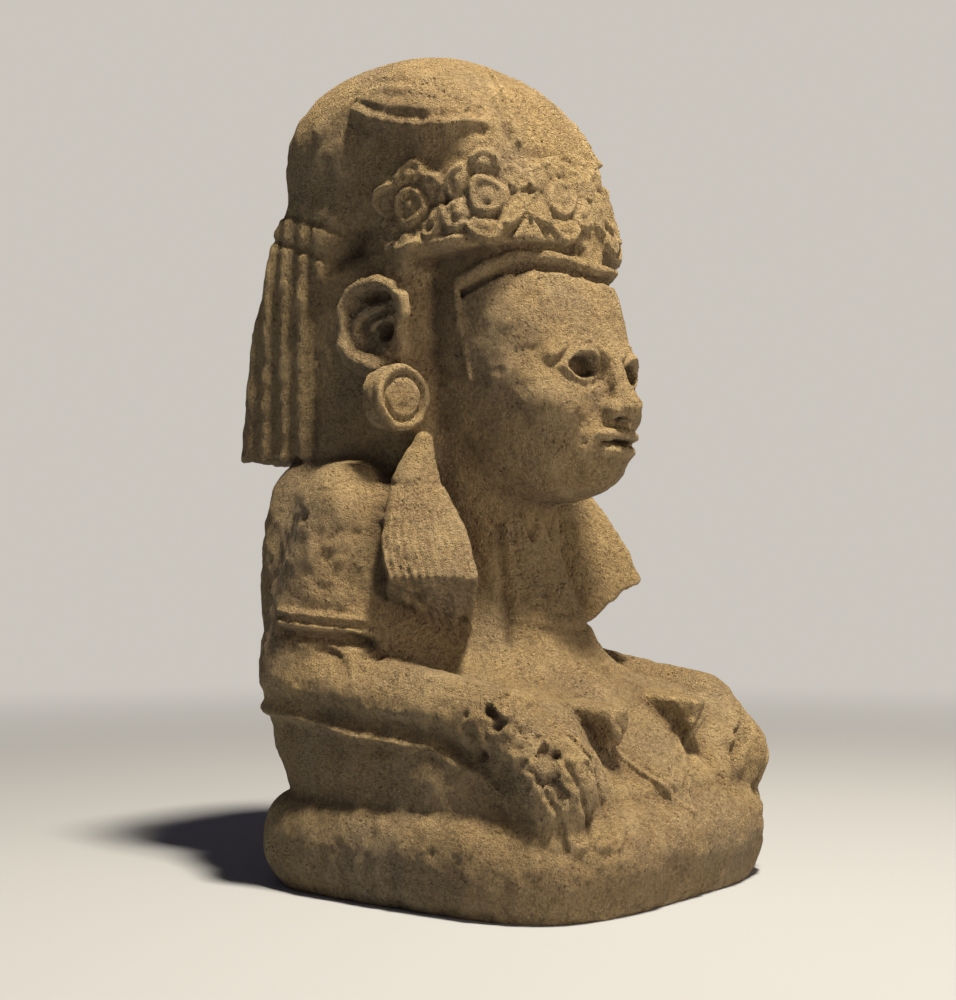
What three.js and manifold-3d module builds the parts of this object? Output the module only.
import * as THREE from 'three';
import { mergeVertices } from 'three/addons/utils/BufferGeometryUtils.js';
import Module from 'manifold-3d';

const wasm = await Module();
wasm.setup();

// Kneeling stone figure, carved from one block. Millimetres, +Z up, the face looks along -Y,
// the origin is the middle of the underside. X is mirrored: every shape is worked out for +X.

// Cross-sections up the block: height, half width, front Y, back Y, squareness of the plan
const ROLL = [
  [-16, 160, -160, 146, 4.0], [0, 168, -169, 154, 4.0], [12, 176, -177, 163, 4.0], [30, 180, -180, 169, 4.0],
  [52, 179, -179, 168, 4.0], [70, 171, -170, 158, 3.8], [80, 154, -150, 140, 3.4],
];
const HIPS = [
  [48, 164, -174, 148, 3.6], [72, 167, -170, 151, 3.5], [100, 170, -162, 162, 3.3], [130, 167, -144, 172, 3.1],
  [150, 158, -116, 176, 3.0], [168, 138, -74, 178, 2.8],
];
const TORSO = [
  [120, 150, -60, 172, 2.8], [160, 154, -40, 186, 2.8], [200, 152, -18, 196, 2.7], [240, 148, 0, 203, 2.7],
  [280, 140, 10, 204, 2.8], [310, 130, 20, 202, 3.0], [334, 120, 32, 197, 3.0], [350, 100, 46, 188, 2.8],
  [360, 66, 66, 170, 2.5],
];
const NECK = [
  [170, 96, -66, 150, 2.6], [214, 80, -54, 150, 2.5], [250, 72, -46, 150, 2.4], [300, 71, -42, 150, 2.4],
  [345, 74, -40, 150, 2.4], [370, 80, -30, 150, 2.4],
];
const HEADBAND = [
  [500, 101, -84, 132, 2.3], [530, 102, -81, 132, 2.3], [560, 100, -74, 130, 2.3], [590, 95, -64, 126, 2.3],
];
const CROWN = [
  [540, 100, -56, 198, 3.0], [580, 106, -53, 194, 3.1], [605, 108, -47, 194, 3.1], [630, 106, -37, 191, 3.0],
  [655, 97, -19, 182, 2.8], [675, 80, 5, 165, 2.5], [690, 50, 34, 135, 2.3], [697, 20, 58, 106, 2.0],
];
const FLAP = [
  [352, 108, 120, 233, 5.0], [400, 109, 118, 229, 5.0], [440, 108, 118, 220, 5.0], [500, 108, 110, 208, 4.5],
  [550, 106, 60, 199, 4.0], [590, 100, 40, 188, 3.5],
];
const BAND_SLOPE = 0.085;
const BAND_FRONT = -85;

// Arms: shoulder, elbow and wrist of the arm's middle line, with the arm's radius at each
const SHOULDER = { at: [116, 76, 300], radius: 44 };
const ELBOW = { at: [138, 104, 180], radius: 39 };
const FOREARM = { at: [138, 104, 163], radius: 37 };
const WRIST = { at: [138, -106, 140], radius: 27 };
const HAND = { at: [131, -131, 98], size: [28, 33, 44] };
const FINGER_TURNS = [31, 35.8, 40.6, 45.4];
const FINGER_LIFT = 6;
const KNUCKLE_Z = 126;
const FINGER_TIP_Z = 52;

// Head: egg-shaped face from chin to hairline, and the mass of hair behind it
const FACE = [
  [312, 26, -66, 40, 2.2], [322, 44, -87, 60, 2.3], [338, 59, -98, 70, 2.3], [362, 70, -102, 80, 2.4],
  [400, 79, -103, 80, 2.5], [440, 81, -99, 80, 2.5], [475, 80, -91, 80, 2.5], [508, 78, -80, 80, 2.5],
];
const HAIR = { at: [0, 74, 424], size: [102, 72, 98], corner: 34 };

// Face, laid out by the old rule of equal thirds from chin to hairline
const CHIN_Z = 322;
const HAIRLINE_Z = 484;
const THIRD = (HAIRLINE_Z - CHIN_Z) / 3;
const NOSE_BASE_Z = CHIN_Z + THIRD;
const BROW_Z = CHIN_Z + 2 * THIRD;
const EYE_Z = BROW_Z - THIRD * 0.24;
const MOUTH_Z = NOSE_BASE_Z - THIRD / 3;
const EYE_WIDTH = 32;
const EYE_HEIGHT = 13;
const EYE_X = EYE_WIDTH;
const EYE_DEPTH = 12;
const NOSE_HALF_WIDTH = 16;
const NOSE_REACH = 22;
const MOUTH_WIDTH = 50;

// Dress and ornament
const ROSETTE_ANGLES = [18.7, 55, 92];
const ROSETTE_RADIUS = 37;
const ROSETTE_LIFT = 6;
const ROSETTE_Z = 550;
const ROSETTE_PETALS = 7;
const FLARE = { at: [112, 27, 395], radius: 27, disc: 16, thickness: 14 };
const EAR = { at: [104, 66, 460], height: 68, width: 44, rim: 7 };
const TASSEL = { top: 318, bottom: 245, topY: [-10, 44], bottomY: [-58, 26], topX: 110, bottomX: 121, innerX: 62,
  topSweep: 20, bottomSweep: 52, undercut: 1 };
const KNOT = { at: [92, 17, 340], radius: 21, height: 46 };
const KNOB = { at: [57, -128, 139], radius: 27, reach: 41, blunt: 0.36 };
const THIGH_HEM = [[150, 146], [125, 144], [104, 136], [89, 128], [64, 122], [50, 97], [45, 70]];
const STONE = { color: 0x8f7650, roughness: 0.95, metalness: 0 };

function blend(a, b, width) {
  const h = Math.max(width - Math.abs(a - b), 0) / width;
  return Math.min(a, b) - h * h * width * 0.25;
}

function blendMax(a, b, width) {
  return -blend(-a, -b, width);
}

function alongCurve(stations, column, z) {
  const last = stations.length - 1;
  let i = 0;
  while (i < last - 1 && z > stations[i + 1][0]) i += 1;
  const slope = (k) => {
    const low = Math.max(k - 1, 0);
    const high = Math.min(k + 1, last);
    return (stations[high][column] - stations[low][column]) / (stations[high][0] - stations[low][0]);
  };
  const span = stations[i + 1][0] - stations[i][0];
  const t = Math.min(Math.max((z - stations[i][0]) / span, 0), 1);
  const t2 = t * t;
  const t3 = t2 * t;
  return (2 * t3 - 3 * t2 + 1) * stations[i][column] + (t3 - 2 * t2 + t) * span * slope(i)
    + (3 * t2 - 2 * t3) * stations[i + 1][column] + (t3 - t2) * span * slope(i + 1);
}

// Distance from a rounded-rectangle block whose plan changes with height
function block(x, y, z, stations) {
  const half = alongCurve(stations, 1, z);
  const front = alongCurve(stations, 2, z);
  const back = alongCurve(stations, 3, z);
  const square = alongCurve(stations, 4, z);
  const across = Math.abs(x);
  const along = Math.abs(y - (front + back) / 2);
  const plan = Math.hypot(across, along) + 1e-6;
  const reach = ((across / half) ** square + (along / ((back - front) / 2)) ** square) ** (1 / square) + 1e-9;
  const ends = Math.max(stations[0][0] - z, z - stations[stations.length - 1][0]);
  return blendMax(plan * (1 - 1 / reach), ends, 6);
}

function egg(x, y, z, at, size) {
  const a = (x - at[0]) / size[0];
  const b = (y - at[1]) / size[1];
  const c = (z - at[2]) / size[2];
  const near = Math.hypot(a, b, c);
  return near * (near - 1) / (Math.hypot(a / size[0], b / size[1], c / size[2]) + 1e-9);
}

function limb(x, y, z, from, to) {
  const line = [0, 1, 2].map((k) => to.at[k] - from.at[k]);
  const point = [x - from.at[0], y - from.at[1], z - from.at[2]];
  const dot = (p, q) => p[0] * q[0] + p[1] * q[1] + p[2] * q[2];
  const t = Math.min(Math.max(dot(point, line) / dot(line, line), 0), 1);
  const off = Math.hypot(point[0] - t * line[0], point[1] - t * line[1], point[2] - t * line[2]);
  return off - (from.radius + (to.radius - from.radius) * t);
}

function roundBox(x, y, z, at, size, corner) {
  const a = Math.abs(x - at[0]) - size[0] + corner;
  const b = Math.abs(y - at[1]) - size[1] + corner;
  const c = Math.abs(z - at[2]) - size[2] + corner;
  const outside = Math.hypot(Math.max(a, 0), Math.max(b, 0), Math.max(c, 0));
  return outside + Math.min(Math.max(a, b, c), 0) - corner;
}

// Body: folded legs under the skirt, thighs, back, arms, hands, lap and neck
function bodyField(px, y, z) {
  const x = Math.abs(px);
  let body = blend(block(x, y, z, HIPS), block(x, y, z, TORSO), 30);
  body = blend(body, limb(x, y, z, SHOULDER, ELBOW), 24);
  body = blend(body, egg(x, y, z, [0, -62, 128], [116, 104, 58]), 30);
  body = blend(body, block(x, y, z, ROLL), 6);
  return blend(body, block(x, y, z, NECK), 22);
}

// Forearm laid along the thigh, with the back of the hand bent down over the knee
function forearmField(x, y, z) {
  return blend(limb(x, y, z, FOREARM, WRIST), egg(x, y, z, HAND.at, HAND.size), 18);
}

// Head: face block, hair, headband, domed cloth and the flap down the back
function headField(px, y, z) {
  const x = Math.abs(px);
  let head = blend(block(x, y, z, FACE), roundBox(x, y, z, HAIR.at, HAIR.size, HAIR.corner), 14);
  head = blend(head, block(x, y, z + BAND_SLOPE * (y - BAND_FRONT), HEADBAND), 5);
  return blend(head, block(x, y, z, CROWN), 8);
}

function flapField(x, y, z) {
  return block(x, y, Math.max(z, FLAP[0][0] + 8), FLAP);
}

// Walk from a point inside the stone along a direction until the surface
function surfaceReach(field, from, direction, far) {
  const value = (t) => field(from[0] + t * direction[0], from[1] + t * direction[1], from[2] + t * direction[2]);
  const step = 5;
  let t = step;
  while (t < far && value(t) < 0) t += step;
  let inside = t - step;
  let outside = t;
  for (let k = 0; k < 14; k += 1) {
    const middle = (inside + outside) / 2;
    if (value(middle) < 0) inside = middle;
    else outside = middle;
  }
  return (inside + outside) / 2;
}

function surfacePoint(field, from, direction) {
  const t = surfaceReach(field, from, direction, 420);
  return new THREE.Vector3(from[0] + t * direction[0], from[1] + t * direction[1], from[2] + t * direction[2]);
}

function surfaceNormal(field, p) {
  const e = 2;
  return new THREE.Vector3(
    field(p.x + e, p.y, p.z) - field(p.x - e, p.y, p.z),
    field(p.x, p.y + e, p.z) - field(p.x, p.y - e, p.z),
    field(p.x, p.y, p.z + e) - field(p.x, p.y, p.z - e),
  ).normalize();
}

function solidOf(geometry) {
  const bare = geometry.clone();
  bare.deleteAttribute('normal');
  bare.deleteAttribute('uv');
  const merged = mergeVertices(bare, 1e-4);
  const vertProperties = new Float32Array(merged.attributes.position.array);
  const triVerts = new Uint32Array(merged.index.array);
  let solid = new wasm.Manifold(new wasm.Mesh({ numProp: 3, vertProperties, triVerts }));
  if (solid.volume() < 0) {
    for (let k = 0; k < triVerts.length; k += 3) {
      [triVerts[k], triVerts[k + 1]] = [triVerts[k + 1], triVerts[k]];
    }
    solid = new wasm.Manifold(new wasm.Mesh({ numProp: 3, vertProperties, triVerts }));
  }
  return solid;
}

// Ball of vertices pushed out onto the surface from one middle point; elevations in degrees
function skin(field, middle, columns, low, high, rings, frontPull) {
  const geometry = new THREE.SphereGeometry(1, columns, rings);
  const position = geometry.attributes.position;
  const elevations = [90, ...Array.from({ length: rings - 1 }, (_, k) => high - (high - low) * k / (rings - 2)), -90];
  for (let k = 0; k < position.count; k += 1) {
    const row = Math.floor(k / (columns + 1));
    const turn = 2 * Math.PI * (k % (columns + 1)) / columns;
    const azimuth = turn - frontPull * Math.sin(turn);
    const elevation = THREE.MathUtils.degToRad(elevations[row]);
    const direction = [
      Math.sin(azimuth) * Math.cos(elevation), -Math.cos(azimuth) * Math.cos(elevation), Math.sin(elevation),
    ];
    const p = surfacePoint(field, middle, direction);
    position.setXYZ(k, p.x, p.y, p.z);
  }
  return solidOf(geometry);
}

// Ball of vertices pushed out square to a curve, for long shapes; both ends close to a point
function limbSkin(field, curve, columns, rings) {
  const geometry = new THREE.SphereGeometry(1, columns, rings);
  const position = geometry.attributes.position;
  for (let k = 0; k < position.count; k += 1) {
    const row = Math.floor(k / (columns + 1));
    const turn = 2 * Math.PI * (k % (columns + 1)) / columns;
    const t = row / rings;
    const middle = curve.getPoint(t);
    const along = curve.getTangent(t);
    const side = new THREE.Vector3(1, 0, 0);
    const up = new THREE.Vector3().crossVectors(side, along).normalize();
    const out = row === 0 ? along.clone().negate() : along.clone();
    if (row > 0 && row < rings) {
      out.copy(side).multiplyScalar(Math.cos(turn)).addScaledVector(up, Math.sin(turn));
    }
    const p = surfacePoint(field, middle.toArray(), out.toArray());
    position.setXYZ(k, p.x, p.y, p.z);
  }
  return solidOf(geometry);
}

// Block with a crisp foot: stacked plans of the listed heights
function tower(stations, heights, columns) {
  const rows = heights.length - 1;
  const geometry = new THREE.CylinderGeometry(1, 1, 1, columns, rows);
  const position = geometry.attributes.position;
  for (let k = 0; k < position.count; k += 1) {
    const z = heights[Math.round((position.getY(k) + 0.5) * rows)];
    const half = alongCurve(stations, 1, z);
    const front = alongCurve(stations, 2, z);
    const back = alongCurve(stations, 3, z);
    const square = alongCurve(stations, 4, z);
    const a = Math.atan2(position.getX(k), position.getZ(k));
    const radial = Math.hypot(position.getX(k), position.getZ(k));
    const reach = radial / (Math.abs(Math.sin(a)) ** square + Math.abs(Math.cos(a)) ** square) ** (1 / square);
    position.setXYZ(k, half * reach * Math.sin(a), (front + back) / 2 - reach * Math.cos(a) * (back - front) / 2, z);
  }
  return solidOf(geometry);
}

// Point on the surface, looking out from a middle line: azimuth from the front, elevation, height of the line
function touch(field, azimuth, height, lift, elevation = 0, middleY = 30) {
  const a = THREE.MathUtils.degToRad(azimuth);
  const e = THREE.MathUtils.degToRad(elevation);
  const direction = [Math.sin(a) * Math.cos(e), -Math.cos(a) * Math.cos(e), Math.sin(e)];
  const p = surfacePoint(field, [0, middleY, height], direction);
  return p.addScaledVector(surfaceNormal(field, p), lift);
}

// Long raised ridge, three-sided, its foot sunk below the surface: a place on the field for every step
function ridge(field, place, steps, half, rise, sink = 4, taper = 0) {
  const geometry = new THREE.CylinderGeometry(1, 1, 1, 3, steps);
  const position = geometry.attributes.position;
  const points = Array.from({ length: steps + 1 }, (_, k) => place(k / steps));
  for (let k = 0; k < position.count; k += 1) {
    const row = Math.round((position.getY(k) + 0.5) * steps);
    const p = points[row].clone();
    const normal = surfaceNormal(field, p);
    const along = points[Math.min(row + 1, steps)].clone().sub(points[Math.max(row - 1, 0)]).normalize();
    const across = new THREE.Vector3().crossVectors(along, normal).normalize();
    const corner = Math.round(3 * Math.atan2(position.getX(k), position.getZ(k)) / (2 * Math.PI));
    const fade = 1 - taper * (2 * row / steps - 1) ** 2;
    if (Math.hypot(position.getX(k), position.getZ(k)) < 0.1) p.addScaledVector(normal, (rise * fade - sink) / 2);
    else if (corner === 0) p.addScaledVector(normal, rise * fade);
    else p.addScaledVector(normal, -sink).addScaledVector(across, corner * half * fade);
    position.setXYZ(k, p.x, p.y, p.z);
  }
  return solidOf(geometry);
}

// Ridge between two places given as azimuth from the front and height
function turnRidge(field, from, to, steps, half, rise, sink) {
  return ridge(field, (t) => touch(field, from[0] + (to[0] - from[0]) * t, from[1] + (to[1] - from[1]) * t, 0), steps, half, rise, sink);
}

// Round cord through points
function cord(points, radius, sides, steps) {
  const section = new THREE.Shape();
  for (let k = 0; k < sides; k += 1) {
    const a = 2 * Math.PI * (k + 0.5) / sides;
    if (k === 0) section.moveTo(radius * Math.cos(a), radius * Math.sin(a));
    else section.lineTo(radius * Math.cos(a), radius * Math.sin(a));
  }
  const extrudePath = new THREE.CatmullRomCurve3(points);
  return solidOf(new THREE.ExtrudeGeometry(section, { steps, bevelEnabled: false, extrudePath }));
}

// Squashed ball turned and moved into place
function pebble(at, size, turn = [0, 0, 0], columns = 12, rings = 7) {
  const ball = new THREE.SphereGeometry(1, columns, rings).scale(size[0], size[1], size[2]);
  ball.rotateX(turn[0]).rotateY(turn[1]).rotateZ(turn[2]).translate(at[0], at[1], at[2]);
  return solidOf(ball);
}

function mirrored(solid) {
  return solid.add(solid.mirror([1, 0, 0]));
}

function joined(solids) {
  return solids.reduce((sum, solid) => sum.add(solid));
}

// Body and head blocks, and the flat underside
const body = skin(bodyField, [0, 20, 110], 32, -42, 74, 22, 0);
const head = skin(headField, [0, 30, 470], 34, -66, 76, 20, 0.3);
const flap = tower(FLAP, [352, 396, 440, 500, 550, 588], 20);
const armLine = new THREE.CatmullRomCurve3([
  new THREE.Vector3(134, 112, 166), new THREE.Vector3(139, 0, 156), new THREE.Vector3(138, -92, 142),
  new THREE.Vector3(135, -128, 120), new THREE.Vector3(134, -138, 78),
]);
const arms = mirrored(limbSkin(forearmField, armLine, 8, 9));
const belowGround = solidOf(new THREE.BoxGeometry(600, 600, 100).translate(0, 0, -50));

// Surface of the body with the arms on it
function kneeField(x, y, z) {
  return blend(bodyField(x, y, z), forearmField(Math.abs(x), y, z), 14);
}

// Fingers lie side by side down the rounded corner of the knee
function fingers() {
  const solids = [];
  for (let k = 0; k < FINGER_TURNS.length; k += 1) {
    const tip = FINGER_TIP_Z + 5 * Math.abs(k - 1.3);
    solids.push(ridge(kneeField, (t) => touch(kneeField, FINGER_TURNS[k], KNUCKLE_Z + (tip - KNUCKLE_Z) * t, 0), 3, 8.5, FINGER_LIFT, 6, 0.3));
  }
  return joined(solids);
}

// Blunt pointed tassel ends on the chest, undercut below
function knob() {
  const geometry = new THREE.CylinderGeometry(KNOB.blunt, 1, 1, 8, 1);
  const position = geometry.attributes.position;
  for (let k = 0; k < position.count; k += 1) {
    const t = position.getY(k) + 0.5;
    const wide = position.getX(k) * KNOB.radius;
    const tall = -position.getZ(k) * KNOB.radius * 0.8;
    position.setXYZ(k, KNOB.at[0] + wide, KNOB.at[1] - t * KNOB.reach, KNOB.at[2] + tall * (tall < 0 ? 0.75 : 1) - 4 * t);
  }
  return solidOf(geometry);
}

// Rosette on the headband: ring of petals, sunk ring, round boss
function rosette(azimuth) {
  const profile = [[1, -5], [1, 0.6], [0.72, 1], [0.42, 0.1], [0, 1.3]];
  const points = profile.map(([radius, height]) => new THREE.Vector2(radius * ROSETTE_RADIUS, height));
  points.unshift(new THREE.Vector2(0, -5));
  const geometry = new THREE.LatheGeometry(points, ROSETTE_PETALS * 2);
  const position = geometry.attributes.position;
  const middleZ = ROSETTE_Z - 12 * Math.sin(THREE.MathUtils.degToRad(azimuth)) ** 2;
  for (let k = 0; k < position.count; k += 1) {
    const a = Math.atan2(position.getZ(k), position.getX(k));
    const radius = Math.hypot(position.getX(k), position.getZ(k));
    const petal = 1 + 0.1 * Math.cos(ROSETTE_PETALS * a) * Math.min(radius / ROSETTE_RADIUS, 1);
    const height = position.getY(k) < -1 ? -5 : position.getY(k) * ROSETTE_LIFT;
    const across = radius * petal * Math.cos(a);
    const up = radius * petal * Math.sin(a);
    const p = touch(headField, azimuth + across * 0.54, middleZ + up, height, 0, 22);
    position.setXYZ(k, p.x, p.y, p.z);
  }
  return solidOf(geometry);
}

// Ear: raised rim round a hollow, with the lobe running down to the flare
function ear() {
  const rim = [];
  for (let k = 0; k <= 8; k += 1) {
    const a = THREE.MathUtils.degToRad(-35 + 250 * k / 8);
    rim.push(new THREE.Vector3(EAR.at[0] + 3, EAR.at[1] + EAR.width / 2 * Math.cos(a), EAR.at[2] + EAR.height / 2 * Math.sin(a)));
  }
  const lobe = [rim[8], new THREE.Vector3(EAR.at[0] + 4, 62, 430), new THREE.Vector3(EAR.at[0] + 4, 46, 408)];
  const inner = [
    new THREE.Vector3(EAR.at[0], 44, 446), new THREE.Vector3(EAR.at[0] + 4, 52, 462), new THREE.Vector3(EAR.at[0], 72, 470),
  ];
  return joined([cord(rim, EAR.rim, 5, 7), cord(lobe, EAR.rim + 3, 5, 2), cord(inner, 5, 4, 2)]);
}

// Ear flare: broad ring round a groove and a raised middle disc, turned on an axis across the head
function flare() {
  const { radius, disc, thickness } = FLARE;
  const profile = [
    [0, 0], [radius * 0.9, 0], [radius, thickness * 0.5], [radius * 0.92, thickness], [disc + 5, thickness],
    [disc + 1, thickness - 5], [disc - 1, thickness - 1], [disc * 0.6, thickness + 1], [0, thickness + 1],
  ].map(([r, h]) => new THREE.Vector2(r, h));
  const geometry = new THREE.LatheGeometry(profile, 12);
  geometry.rotateZ(-Math.PI / 2).translate(FLARE.at[0] - 6, FLARE.at[1], FLARE.at[2]);
  return solidOf(geometry);
}

// Fringed tassel: flared block with fluted faces and a flat cut end, leaning forward as it falls
function tassel() {
  const flutes = 20;
  const geometry = new THREE.CylinderGeometry(1, 1, 1, flutes, 1);
  const position = geometry.attributes.position;
  for (let k = 0; k < position.count; k += 1) {
    const t = position.getY(k) + 0.5;
    const a = Math.atan2(position.getZ(k), position.getX(k));
    const radial = Math.hypot(position.getX(k), position.getZ(k));
    const square = 1 / (Math.abs(Math.cos(a)) ** 10 + Math.abs(Math.sin(a)) ** 10) ** 0.1;
    const index = Math.round(a / (2 * Math.PI) * flutes);
    const flute = index % 2 === 0 ? 1 : 0.93;
    const mix = (low, high) => low + (high - low) * t;
    const outer = mix(TASSEL.bottomX, TASSEL.topX);
    const x = (outer + TASSEL.innerX) / 2 + radial * square * flute * Math.cos(a) * (outer - TASSEL.innerX) / 2;
    const inward = (outer - x) / (outer - TASSEL.innerX);
    const front = mix(TASSEL.bottomY[0], TASSEL.topY[0]) + inward * mix(TASSEL.bottomSweep, TASSEL.topSweep);
    const back = mix(TASSEL.bottomY[1], TASSEL.topY[1]);
    const y = (front + back) / 2 + radial * square * flute * Math.sin(a) * (back - front) / 2;
    const cut = (1 - t) * TASSEL.undercut * (TASSEL.bottomX - x);
    position.setXYZ(k, x, y, mix(TASSEL.bottom, TASSEL.top) - cut);
  }
  return joined([solidOf(geometry), pebble(KNOT.at, [KNOT.radius, KNOT.radius, KNOT.height / 2 + 4], [0, 0, 0], 8, 5)]);
}

// Face: hollow eye sockets under brows, a straight nose, parted lips
function almond(width, height, depth, at) {
  const shape = new THREE.Shape();
  shape.moveTo(-width / 2, 0);
  shape.quadraticCurveTo(0, -height, width / 2, 0);
  shape.quadraticCurveTo(0, height, -width / 2, 0);
  const geometry = new THREE.ExtrudeGeometry(shape, { depth, bevelEnabled: false, curveSegments: 6 });
  geometry.rotateX(Math.PI / 2).translate(at[0], at[1], at[2]);
  return solidOf(geometry);
}

function faceAt(x, z, lift) {
  const p = surfacePoint(headField, [x, 0, z], [0, -1, 0]);
  return p.addScaledVector(surfaceNormal(headField, p), lift);
}

function archOver(x, z, width, rise, half, lift, steps) {
  return ridge(headField, (t) => faceAt(x + (t - 0.5) * width, z + rise * (1 - (2 * t - 1) ** 2), 0), steps, half, lift, 4, 0.75);
}

function nose() {
  const geometry = new THREE.CylinderGeometry(1, 1, 1, 8, 3);
  const position = geometry.attributes.position;
  for (let k = 0; k < position.count; k += 1) {
    const t = 0.5 - position.getY(k);
    const half = 6 + (NOSE_HALF_WIDTH - 6) * t ** 1.6;
    const reach = 4 + NOSE_REACH * t ** 1.15 * (t > 0.9 ? 0.9 : 1);
    const z = BROW_Z + 4 - t * (BROW_Z + 4 - NOSE_BASE_Z + 2);
    const ground = faceAt(0, z, 0).y;
    const forward = position.getZ(k);
    position.setXYZ(k, position.getX(k) * half, ground + (forward > 0 ? -forward * reach : 10), z);
  }
  return solidOf(geometry);
}

const eyeSockets = mirrored(almond(EYE_WIDTH, EYE_HEIGHT, 60, [EYE_X, faceAt(EYE_X, EYE_Z, 0).y - 48 + EYE_DEPTH, EYE_Z]));
const mouthGap = almond(MOUTH_WIDTH * 0.72, 7, 60, [0, faceAt(0, MOUTH_Z, 0).y - 50 + 8, MOUTH_Z]);
const faceRelief = joined([
  mirrored(archOver(EYE_X, BROW_Z - 5, 44, 7, 7, 4, 4)),
  mirrored(archOver(EYE_X, EYE_Z, EYE_WIDTH + 6, 9, 4, 3, 4)),
  mirrored(archOver(EYE_X, EYE_Z, EYE_WIDTH + 6, -9, 4, 2.5, 4)),
  nose(),
  mirrored(pebble([NOSE_HALF_WIDTH - 4, faceAt(0, NOSE_BASE_Z, 0).y - 6, NOSE_BASE_Z + 5], [6, 9, 7], [0, 0, 0], 6, 4)),
  archOver(0, MOUTH_Z + 5, MOUTH_WIDTH, 2, 6, 7, 4),
  archOver(0, MOUTH_Z - 6, MOUTH_WIDTH - 8, -2, 7, 7.5, 4),
]);

// Point on the side of the head at a given Y and height
function sideAt(field, y, z, lift) {
  const p = surfacePoint(field, [0, y, z], [1, 0, 0]);
  return p.addScaledVector(surfaceNormal(field, p), lift);
}

// Leaf-shaped tuft of cloth lying on the side of the dome, long axis falling toward the front
function tuft(middle, long, tall, lift, fall, columns, rings) {
  const geometry = new THREE.SphereGeometry(1, columns, rings).rotateX(Math.PI / 2);
  const position = geometry.attributes.position;
  for (let k = 0; k < position.count; k += 1) {
    const u = position.getX(k);
    const v = position.getY(k) * Math.sqrt(Math.max(1 - u * u, 0)) ** 0.3;
    const p = sideAt(headField, middle[0] - long * u, middle[1] + tall * v - fall * u + 8 * (1 - u * u), lift * position.getZ(k));
    position.setXYZ(k, p.x, p.y, p.z);
  }
  return solidOf(geometry);
}

// Headdress: cord over the brow, strips beside the face, leaf-shaped tufts, a ribbed fan, side and back ribs
const browCord = mirrored(turnRidge(headField, [0, HAIRLINE_Z + 6], [56, HAIRLINE_Z + 2], 5, 5, 3.5));
const cheekStrip = mirrored(ridge(headField, (t) => sideAt(headField, -56 + 8 * t, HAIRLINE_Z - 6 - 84 * t, 0), 2, 6, 5));
const tufts = mirrored(joined([
  tuft([44, 634], 70, 24, 9, 17, 8, 6),
  tuft([58, 603], 60, 9, 7, 10, 6, 4),
]));
const fan = joined([-2, -1, 0, 1, 2].map((k) => ridge(
  headField, (t) => touch(headField, k * (13 - 6 * t), 604 + 70 * t, 0), 2, 6, 4,
)));
const sideRib = mirrored(ridge(flapField, (t) => sideAt(flapField, 127, 362 + 148 * t, 0), 2, 8, 5));
const flapGrooves = joined([-1.6, 0, 1.6].map((k) => ridge(
  flapField, (t) => touch(flapField, 180 + 9 * k, 346 + 220 * t, 0, 0, 60), 3, 7, -9, -4,
)));

// Shawl and skirt: pointed tip between the knobs, doubled sleeve hem, hem along the thigh
const shawlEdge = mirrored(ridge(bodyField, (t) => touch(bodyField, 23 * (1 - t), 132 - 68 * t, 0), 3, 5, 4));
const sleeveHem = mirrored(joined([
  turnRidge(bodyField, [84, 223], [140, 219], 4, 7, 7),
  turnRidge(bodyField, [86, 207], [136, 204], 4, 6, 5),
]));
const hemCurve = new THREE.CatmullRomCurve3(THIGH_HEM.map(([turn, z]) => new THREE.Vector3(turn, z, 0)));
const thighHem = mirrored(ridge(bodyField, (t) => {
  const place = hemCurve.getPoint(t);
  return touch(bodyField, place.x, place.y, 0);
}, 9, 8, 6));

const raised = joined([
  arms, mirrored(joined([fingers(), knob(), ear(), flare(), tassel(), ...ROSETTE_ANGLES.map(rosette)])),
  faceRelief, browCord, cheekStrip, tufts, fan, sideRib, shawlEdge, sleeveHem, thighHem,
]);
const cut = joined([belowGround, eyeSockets, mouthGap, flapGrooves]);
// Slivers cut loose where two shapes barely touch are dropped: the stone itself is the largest body
const figure = body.add(head).add(flap).add(raised).subtract(cut).decompose()
  .reduce((largest, solid) => (solid.volume() > largest.volume() ? solid : largest));

const mesh = figure.getMesh();
const geometry = new THREE.BufferGeometry();
geometry.setAttribute('position', new THREE.BufferAttribute(mesh.vertProperties, 3));
geometry.setIndex(new THREE.BufferAttribute(mesh.triVerts, 1));
geometry.computeVertexNormals();
const stone = new THREE.Mesh(geometry, new THREE.MeshStandardMaterial(STONE));
stone.name = 'kneeling_figure';
const group = new THREE.Group();
group.add(stone);
export default group;
